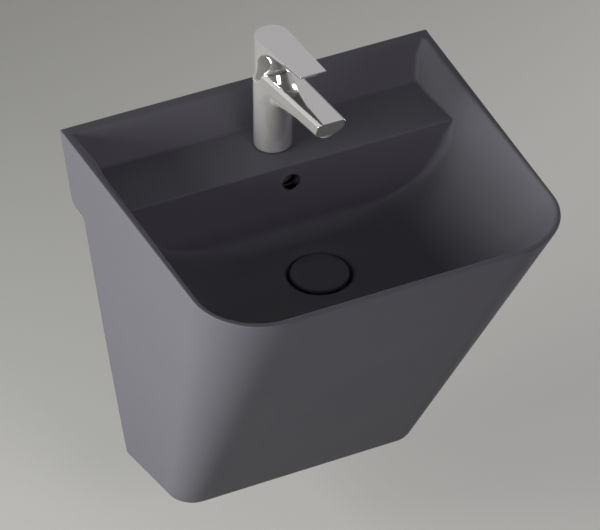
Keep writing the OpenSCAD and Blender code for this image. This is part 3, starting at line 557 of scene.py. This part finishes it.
# ---------------------------------------------------------------- rounded solids
def surface_nets(f, lo, hi, step):
    """Quads on the surface f = 0; f takes three arrays in millimetres."""
    axes = [np.arange(lo[k], hi[k] + step, step) for k in range(3)]
    val = f(axes[0][:, None, None], axes[1][None, :, None], axes[2][None, None, :])
    val = np.broadcast_to(val, tuple(len(a) for a in axes))
    inside = val < 0
    shape = tuple(n - 1 for n in inside.shape)
    count = np.zeros(shape, np.int8)
    for dx in (0, 1):
        for dy in (0, 1):
            for dz in (0, 1):
                count += inside[dx:dx + shape[0], dy:dy + shape[1], dz:dz + shape[2]]
    cells = np.argwhere((count > 0) & (count < 8))
    number = np.full(shape, -1, np.int64)
    number[tuple(cells.T)] = np.arange(len(cells))
    total = np.zeros((len(cells), 3))
    hits = np.zeros(len(cells))
    corners = [(x, y, z) for x in (0, 1) for y in (0, 1) for z in (0, 1)]
    for a in corners:
        for k in range(3):
            if a[k]:
                continue
            b = list(a)
            b[k] = 1
            va = val[tuple((cells + a).T)]
            vb = val[tuple((cells + b).T)]
            crossing = (va < 0) != (vb < 0)
            t = np.where(crossing, va / np.where(crossing, va - vb, 1.0), 0.0)
            point = np.array(a, float)[None, :].repeat(len(cells), 0)
            point[:, k] = t
            total[crossing] += point[crossing]
            hits[crossing] += 1
    verts = (cells + total / hits[:, None]) * step + np.array([a[0] for a in axes])
    quads = []
    for k in range(3):
        i, j = (k + 1) % 3, (k + 2) % 3
        lo_sl = [slice(None)] * 3
        hi_sl = [slice(None)] * 3
        lo_sl[k], hi_sl[k] = slice(0, -1), slice(1, None)
        change = inside[tuple(lo_sl)] != inside[tuple(hi_sl)]
        at = np.argwhere(change)
        at = at[(at[:, i] > 0) & (at[:, j] > 0) & (at[:, i] < shape[i]) & (at[:, j] < shape[j])]
        flip = inside[tuple(at.T)]
        ring = []
        for di, dj in ((0, 0), (1, 0), (1, 1), (0, 1)):
            cell = at.copy()
            cell[:, i] -= di
            cell[:, j] -= dj
            ring.append(number[tuple(cell.T)])
        quad = np.stack(ring, 1)
        quad[~flip] = quad[~flip][:, ::-1]
        quads.append(quad)
    return verts, np.concatenate(quads)


def gradient(f, p, h=0.02):
    """The slope of f at the points p."""
    g = np.empty_like(p)
    for k in range(3):
        d = np.zeros(3)
        d[k] = h
        a, b = p + d, p - d
        g[:, k] = (f(a[:, 0], a[:, 1], a[:, 2]) - f(b[:, 0], b[:, 1], b[:, 2])) / (2 * h)
    return g


def rounded_solid(name, f, lo, hi, step):
    """A closed mesh of the solid f < 0 with its points and normals taken from f itself."""
    verts, quads = surface_nets(f, lo, hi, step)
    # A few short steps along the slope put the points on the surface
    for _ in range(5):
        g = gradient(f, verts)
        v = f(verts[:, 0], verts[:, 1], verts[:, 2])
        move = -(v / np.maximum((g * g).sum(1), 0.05))[:, None] * g
        length = np.linalg.norm(move, axis=1)
        limit = 0.5 * step
        move *= np.minimum(1.0, limit / np.maximum(length, 1e-9))[:, None]
        verts = verts + move
    used, back = np.unique(quads, return_inverse=True)
    quads = back.reshape(quads.shape)
    verts = verts[used]
    mesh = bpy.data.meshes.new(name)
    mesh.from_pydata((verts * MM).tolist(), [], quads.tolist())
    mesh.polygons.foreach_set("use_smooth", [True] * len(mesh.polygons))
    normals = gradient(f, verts, 0.05)
    normals /= np.maximum(np.linalg.norm(normals, axis=1), 1e-9)[:, None]
    mesh.update()
    mesh.normals_split_custom_set_from_vertices(normals.tolist())
    obj = bpy.data.objects.new(name, mesh)
    bpy.context.scene.collection.objects.link(obj)
    return obj


def smin(a, b, r):
    """Union with a fillet of about r."""
    h = np.maximum(r - np.abs(a - b), 0.0) / r
    return np.minimum(a, b) - h * h * r * 0.25


def smax(a, b, r):
    """Intersection with an edge rounded by about r."""
    return -smin(-a, -b, r)


def smooth_ramp(x, r):
    """0 below, x above, with a soft start."""
    return np.where(x <= -r, 0.0, np.where(x >= r, x, (x + r) ** 2 / (4.0 * r)))


# ---------------------------------------------------------------- tap
# Distances s in front of the tap's axis, heights t above the deck
BODY_R = 24.1
BODY_TOP = 101.6
BODY_FOOT = 1.5                         # the body stands on its gasket
HUB_R, HUB_GAP = 22.3, 0.6              # hub of the handle, and the gap around it
TIP_S, TIP_T, TIP_RISE = 170.0, 146.0, 28.7     # the spout's tip, and its rise to it
SPOUT_HALF, SPOUT_TAPER = 22.1, 3.6     # half width, and how much narrower the tip is
BEVEL_H, BEVEL_W = 2.8, 4.4             # bevel along the spout's top
SIDE_H = 11.0                           # upright sides below the bevel
BELLY_S, BELLY_T = (24.1, 107.0, 170.0), (77.0, 107.5, 119.0)   # height of its underside
ROOT_R = 16.0                           # fillet between body and spout
LEAN_S, LEAN_RISE = 4.0, 0.4            # front of the room a leaning hub needs, its slope
CHAMBER_R, CHAMBER_T = 17.5, 56.0       # room for the cartridge
NUT_R, NUT_T = 19.4, 94.0               # room for the cartridge's nut
AERATOR_S, AERATOR_R, AERATOR_T = 147.0, 10.05, 125.0
GRID = 0.7       # spacing of the mesh points


def ellipse_field(x, y, a, b):
    """About the distance from an ellipse with the half axes a and b."""
    k0 = np.sqrt((x / a) ** 2 + (y / b) ** 2 + 1e-9)
    k1 = np.sqrt((x / a ** 2) ** 2 + (y / b ** 2) ** 2 + 1e-9 / a ** 2)
    return k0 * (k0 - 1.0) / k1


def tap_solid(x, y, z):
    """The casting: a round body and a rising spout, with the rooms for what they hold.
    Factors near 1 turn the height above a sloping face into the distance from it."""
    s = TAP_Y - y
    t = z - DECK
    radial = np.sqrt(x * x + s * s)
    post = smax(smax(radial - BODY_R, t - BODY_TOP, 4.0), BODY_FOOT - t, 1.2)
    ax = np.abs(x)
    half = SPOUT_HALF - SPOUT_TAPER * np.clip(s / TIP_S, 0.0, 1.0)
    # Flat top with a bevel along each side
    top = TIP_T - TIP_RISE * (1.0 - s / TIP_S)
    edge = top - BEVEL_H
    rise = BEVEL_H / BEVEL_W
    slope = (t - edge + (ax - half) * rise) / math.sqrt(1.0 + rise * rise)
    # Upright sides, then a round belly
    side = edge - SIDE_H
    lowest = np.interp(s, BELLY_S, BELLY_T)
    belly = ellipse_field(x, np.minimum(t - side, 0.0), half, side - lowest)
    tip = (s - TIP_S + 0.5 * (top - t)) * 0.894
    spout = smax(belly, slope, 0.8)
    spout = smax(spout, (t - top) * 0.986, 0.5)
    spout = smax(spout, tip, 0.9)
    spout = smax(spout, -s, 1.0)
    solid = smin(post, spout, ROOT_R)
    plan = smin(radial - BODY_R, smax(ax - half, -s, 0.5), 3.0)
    solid = smax(solid, plan, 0.5)
    # Behind the spout's root nothing stands above the body, so a turned hub can lean back
    lean_room = smax(BODY_TOP + 0.2 - t, s - LEAN_S - LEAN_RISE * (t - BODY_TOP), 0.5)
    solid = smax(solid, -lean_room, 1.0)
    # Room for the turning hub, open upwards
    cone = (radial - HUB_R - HUB_GAP - 0.2 * (t - BODY_TOP)) * 0.98
    solid = smax(solid, -smax(cone, BODY_TOP - t, 0.3), 0.5)
    # Chamber of the cartridge and bore of the aerator
    solid = np.maximum(solid, -smax(radial - CHAMBER_R, CHAMBER_T - t, 0.3))
    solid = np.maximum(solid, -smax(radial - NUT_R, NUT_T - t, 0.3))
    aerator = np.sqrt(x * x + (s - AERATOR_S) ** 2) - AERATOR_R
    return smax(solid, -smax(aerator, t - AERATOR_T, 0.3), 0.3)


LEVER_S, LEVER_TIP_HALF = 117.0, 17.3   # length and half width of the lever's tip
LEVER_T, LEVER_RISE, LEVER_BEND = 162.5, 0.162, 12.0    # its top, slope and soft bend
LEVER_H, LEVER_THIN = 8.3, 5.7          # thickness over the hub, and how much the tip loses
HUB_TOP, HUB_FILLET = 150.0, 26.0
LIFT = math.radians(25.0)               # how far the lever lifts
SPINDLE_BOSS_R, BOSS_FOOT = 8.0, 112.0  # boss that holds the spindle
HOLLOW_R, HOLLOW_T = 20.0, 126.0        # hollow around the boss
SCREW_T, SCREW_R = 119.0, 2.52          # set screw
SCREW_WALL_R, CAP_R = 5.0, 3.62         # the wall around it and the cap over it
SCREW_IN, CAP_IN = 3.9, 19.68           # where its hole and the cap's seat end
SOCKET_HALF, SOCKET_T = 4.02, 124.0     # square hole of the spindle


def handle_solid(x, y, z):
    """The handle: a round hub that flows into a flat lever, hollow from below."""
    s = TAP_Y - y
    t = z - DECK
    radial = np.sqrt(x * x + s * s)
    ax = np.abs(x)
    top = LEVER_T + LEVER_RISE * smooth_ramp(s, LEVER_BEND)
    hub = smax(radial - HUB_R, t - HUB_TOP, 1.0)
    # Plate: round at the back, narrowing to the tip
    along = np.clip(s / LEVER_S, 0.0, 1.0)
    half = HUB_R - (HUB_R - LEVER_TIP_HALF) * along
    plan = np.where(s < 0, radial - HUB_R, ax - half)
    under = top - LEVER_H + LEVER_THIN * along
    plate = smax(plan, under - t, 1.0)
    solid = smin(hub, plate, HUB_FILLET)
    solid = smax(solid, plan, 0.5)
    solid = smax(solid, (t - top) * 0.988, 0.7)
    solid = smax(solid, s - LEVER_S, 0.8)
    # Foot of the hub, with a wedge at the back that gives room to lift
    solid = smax(solid, BODY_TOP + 0.4 - t, 0.8)
    wedge = (BODY_TOP + 1.2 - t) * math.cos(LIFT) - s * math.sin(LIFT)
    solid = smax(solid, wedge, 0.6)
    # Hollow around the boss of the spindle and the wall that holds the screw
    boss = smax(radial - SPINDLE_BOSS_R, BOSS_FOOT - t, 0.5)
    screw = np.sqrt(x * x + (t - SCREW_T) ** 2)
    wall = smax(screw - SCREW_WALL_R, s, 0.5)
    room = smax(radial - HOLLOW_R, t - HOLLOW_T, 1.0)
    room = smax(room, -np.minimum(boss, wall), 0.3)
    solid = np.maximum(solid, -room)
    # Holes of the spindle, the screw and the cap over the screw
    socket = np.maximum(np.maximum(ax, np.abs(s)) - SOCKET_HALF, t - SOCKET_T)
    solid = np.maximum(solid, -socket)
    solid = np.maximum(solid, -np.maximum(screw - SCREW_R, s + SCREW_IN))
    return smax(solid, -np.maximum(screw - CAP_R, s + CAP_IN), 0.2)


# ---------------------------------------------------------------- materials
NOISE_MID, NOISE_WIDE = (0.3, 0.7), (0.25, 0.75)    # where a noise has most of its values
BUMP_H = 0.0004                                     # height of the finest relief, in metres


def map_range(tree, value, source, result):
    """Maps the range source of a value to the range result."""
    node = tree.nodes.new("ShaderNodeMapRange")
    for name, number in zip(("From Min", "From Max", "To Min", "To Max"), source + result):
        node.inputs[name].default_value = number
    tree.links.new(value, node.inputs["Value"])
    return node


def material(name, color, roughness, metallic=0.0, grain=0.0, grain_scale=400.0,
             bump=0.0, bump_scale=600.0, vary=0.04, vary_scale=12.0, specular=0.5,
             rough_vary=0.06):
    """A procedural material: base colour, roughness and height each vary over the surface."""
    mat = bpy.data.materials.new(name)
    mat.use_nodes = True
    tree = mat.node_tree
    nodes, links = tree.nodes, tree.links
    shader = nodes["Principled BSDF"]
    shader.inputs["Metallic"].default_value = metallic
    shader.inputs["Specular IOR Level"].default_value = specular
    coord = nodes.new("ShaderNodeTexCoord")

    def noise(scale, detail):
        node = nodes.new("ShaderNodeTexNoise")
        node.inputs["Scale"].default_value = scale
        node.inputs["Detail"].default_value = detail
        links.new(coord.outputs["Object"], node.inputs["Vector"])
        return node

    broad = noise(vary_scale, 4.0)
    ramp = nodes.new("ShaderNodeMix")
    ramp.data_type = "RGBA"
    ramp.inputs["A"].default_value = [c * (1 - vary) for c in color] + [1]
    ramp.inputs["B"].default_value = [min(c * (1 + vary), 1.0) for c in color] + [1]
    links.new(broad.outputs["Fac"], ramp.inputs["Factor"])
    out = ramp.outputs["Result"]
    if grain:
        fine = noise(grain_scale, 2.0)
        speck = nodes.new("ShaderNodeMix")
        speck.data_type = "RGBA"
        speck.blend_type = "MULTIPLY"
        speck.inputs["Factor"].default_value = 1.0
        shade = map_range(tree, fine.outputs["Fac"], NOISE_WIDE, (1 - grain, 1 + grain))
        links.new(out, speck.inputs["A"])
        links.new(shade.outputs["Result"], speck.inputs["B"])
        out = speck.outputs["Result"]
    links.new(out, shader.inputs["Base Color"])
    rough = map_range(tree, broad.outputs["Fac"], NOISE_MID,
                      (roughness * (1 - rough_vary), min(roughness * (1 + rough_vary), 1.0)))
    links.new(rough.outputs["Result"], shader.inputs["Roughness"])
    if bump:
        height = noise(bump_scale, 3.0)
        node = nodes.new("ShaderNodeBump")
        node.inputs["Strength"].default_value = bump
        node.inputs["Distance"].default_value = BUMP_H
        links.new(height.outputs["Fac"], node.inputs["Height"])
        links.new(node.outputs["Normal"], shader.inputs["Normal"])
    return mat


MATS = {
    "matt_ceramic": material("matt_ceramic", (0.0705, 0.068, 0.0795), 0.64, grain=0.03,
                             grain_scale=900.0, bump=0.05, bump_scale=500.0, vary=0.03,
                             vary_scale=6.0, specular=0.25),
    "chrome": material("chrome", (0.72, 0.71, 0.69), 0.08, metallic=0.75, vary=0.02,
                       rough_vary=0.1, vary_scale=25.0),
    "brass": material("brass", (0.72, 0.5, 0.2), 0.3, metallic=1.0, grain=0.05,
                      grain_scale=300.0, bump=0.1, bump_scale=900.0, vary=0.08),
    "steel": material("steel", (0.56, 0.56, 0.55), 0.33, metallic=1.0, grain=0.06,
                      grain_scale=500.0, bump=0.08, bump_scale=700.0, vary=0.06),
    "rubber": material("rubber", (0.03, 0.03, 0.032), 0.7, grain=0.1, bump=0.3,
                       bump_scale=1200.0, vary=0.1),
    "plastic": material("plastic", (0.62, 0.62, 0.6), 0.42, grain=0.02, bump=0.08,
                        bump_scale=900.0, vary=0.03),
    "technical_ceramic": material("technical_ceramic", (0.75, 0.73, 0.69), 0.3, vary=0.03,
                                  grain=0.02),
}


def polish_tops(mat, metallic, roughness):
    """Gives the faces that look up in the object's own frame their own polish."""
    tree = mat.node_tree
    shader = tree.nodes["Principled BSDF"]
    coord = tree.nodes.new("ShaderNodeTexCoord")
    axes = tree.nodes.new("ShaderNodeSeparateXYZ")
    tree.links.new(coord.outputs["Normal"], axes.inputs["Vector"])
    up = map_range(tree, axes.outputs["Z"], (0.93, 0.97), (0.0, 1.0))
    for name, value in (("Metallic", metallic), ("Roughness", roughness)):
        socket = shader.inputs[name]
        blend = tree.nodes.new("ShaderNodeMix")
        blend.inputs["A"].default_value = socket.default_value
        blend.inputs["B"].default_value = value
        if socket.is_linked:
            tree.links.new(socket.links[0].from_socket, blend.inputs["A"])
        tree.links.new(up.outputs["Result"], blend.inputs["Factor"])
        tree.links.new(blend.outputs["Result"], socket)


def tap_finish(name, metallic):
    """Polished chrome with mirror-bright faces on top."""
    mat = material(name, (0.72, 0.71, 0.685), 0.07, metallic=metallic, grain=0.02,
                   grain_scale=1500.0, vary=0.02, rough_vary=0.1, vary_scale=25.0)
    polish_tops(mat, 0.97, 0.05)
    return mat


def set_material(obj, mat):
    """Makes a material the object's only one."""
    obj.data.materials.clear()
    obj.data.materials.append(mat)


slot_of = {part["node"]: part["material_slot"] for part in frame["record"]["subparts"]}
for node, obj in frame["nodes"].items():
    set_material(obj, MATS[slot_of[node]])

# The overflow ring is a full mirror
set_material(frame["nodes"]["overflow_ring"],
             material("mirror_chrome", (0.72, 0.71, 0.69), 0.05, metallic=1.0, vary=0.02,
                      rough_vary=0.1, vary_scale=25.0))


# ---------------------------------------------------------------- pieces
basin = make_basin()
set_material(basin, MATS["matt_ceramic"])
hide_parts("basin")
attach(basin, "fixed")

tap = rounded_solid("tap_casting", tap_solid, (-27, -256, DECK), (27, -52, DECK + 150), GRID)
set_material(tap, tap_finish("casting_chrome", 0.77))
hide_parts("tap_body")
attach(tap, "fixed")

handle = rounded_solid("tap_handle", handle_solid, (-27, -200, DECK + 98), (27, -52, DECK + 184),
                       GRID)
set_material(handle, tap_finish("handle_chrome", 0.88))
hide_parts("lever_handle")
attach(handle, "lever")


WIRE_R = 0.6                            # radius of the spring's wire
TURNS, STEPS_PER_TURN = 5, 32


def spring_coil():
    """The spring under the plug: a round wire wound in the space of its CAD solid."""
    low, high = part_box("plug_spring")
    steps = TURNS * STEPS_PER_TURN
    radius = (high[0] - low[0]) / (2 * MM) - WIRE_R
    bottom, top = low[2] / MM + WIRE_R, high[2] / MM - WIRE_R
    rings = []
    for k in range(steps + 1):
        a = -2 * math.pi * k / STEPS_PER_TURN
        z = mix(top, bottom, k / steps)
        rings.append([((radius + u) * math.cos(a), DRAIN_Y + (radius + u) * math.sin(a), z + v)
                      for u, v in circle(WIRE_R, 12)])
    return loft("plug_spring_coil", rings), low[2], high[2]


coil, coil_low, coil_high = spring_coil()
set_material(coil, MATS[slot_of["plug_spring"]])
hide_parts("plug_spring")
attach(coil, "fixed")
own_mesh(coil)


# ---------------------------------------------------------------- stage and light
FLOOR_R, FLOOR_Z = 3.2, -0.58           # in metres, below the foot of the skirt


def disc(name, radius, z):
    """A flat round sheet, in metres."""
    rim = circle(radius)
    mesh = bpy.data.meshes.new(name)
    mesh.from_pydata([(x, y, z) for x, y in rim], [], [list(range(len(rim)))])
    obj = bpy.data.objects.new(name, mesh)
    bpy.context.scene.collection.objects.link(obj)
    return obj


floor = disc("floor", FLOOR_R, FLOOR_Z)
set_material(floor, material("floor", (0.425, 0.42, 0.4), 0.9, vary=0.02, vary_scale=1.0))


def area(name, place, target, size, power, spread=180.0, color=(1.0, 1.0, 1.0)):
    """A rectangular lamp that looks at a target. Lengths in metres, power in watts."""
    data = bpy.data.lights.new(name, "AREA")
    data.spread = math.radians(spread)
    data.shape = "RECTANGLE"
    data.size, data.size_y = size
    data.energy = power
    data.color = color
    obj = bpy.data.objects.new(name, data)
    obj.location = place
    obj.rotation_euler = (Vector(target) - Vector(place)).to_track_quat("-Z", "Y").to_euler()
    bpy.context.scene.collection.objects.link(obj)


area("key", place=(-2.7, -0.35, 0.3), target=(0.0, -0.25, -0.1), size=(2.0, 1.4),
     power=64.0, spread=100.0, color=(0.99, 1.0, 0.98))
area("front", place=(0.2, -2.4, 1.1), target=(0.0, -0.2, 0.0), size=(0.9, 0.7),
     power=18.0, color=(0.94, 0.9, 1.0))
area("fill", place=(2.7, 0.5, -0.05), target=(0.0, -0.2, 0.0), size=(1.2, 0.8),
     power=25.0, spread=100.0)


SKY_COLOR = (0.96, 0.95, 1.0, 1.0)
SKY_LIGHT = 0.185                       # strength of the sky on dull surfaces
SKY_SEEN = 0.42                         # strength behind the object
MIRROR_SKY = (0.1, 0.55)                # strength in mirrors, in front and behind
MIRROR_RANGE = (-0.55, 0.05)            # directions in y between which it changes


def make_world():
    """The sky lights the object evenly. The camera and mirrors see it as a pale backdrop,
    and mirrors see it darker towards the front of the studio."""
    world = bpy.data.worlds.new("world")
    bpy.context.scene.world = world
    world.use_nodes = True
    nodes, links = world.node_tree.nodes, world.node_tree.links
    sky = nodes["Background"]
    sky.inputs["Color"].default_value = SKY_COLOR
    path = nodes.new("ShaderNodeLightPath")
    coord = nodes.new("ShaderNodeTexCoord")
    axes = nodes.new("ShaderNodeSeparateXYZ")
    links.new(coord.outputs["Generated"], axes.inputs["Vector"])
    depth = map_range(world.node_tree, axes.outputs["Y"], MIRROR_RANGE, MIRROR_SKY)
    depth.interpolation_type = "SMOOTHSTEP"
    mirror = nodes.new("ShaderNodeMix")
    mirror.inputs["A"].default_value = SKY_LIGHT
    links.new(path.outputs["Is Glossy Ray"], mirror.inputs["Factor"])
    links.new(depth.outputs["Result"], mirror.inputs["B"])
    seen = nodes.new("ShaderNodeMix")
    seen.inputs["B"].default_value = SKY_SEEN
    links.new(path.outputs["Is Camera Ray"], seen.inputs["Factor"])
    links.new(mirror.outputs["Result"], seen.inputs["A"])
    links.new(seen.outputs["Result"], sky.inputs["Strength"])


make_world()

bpy.context.scene.view_settings.view_transform = "Standard"
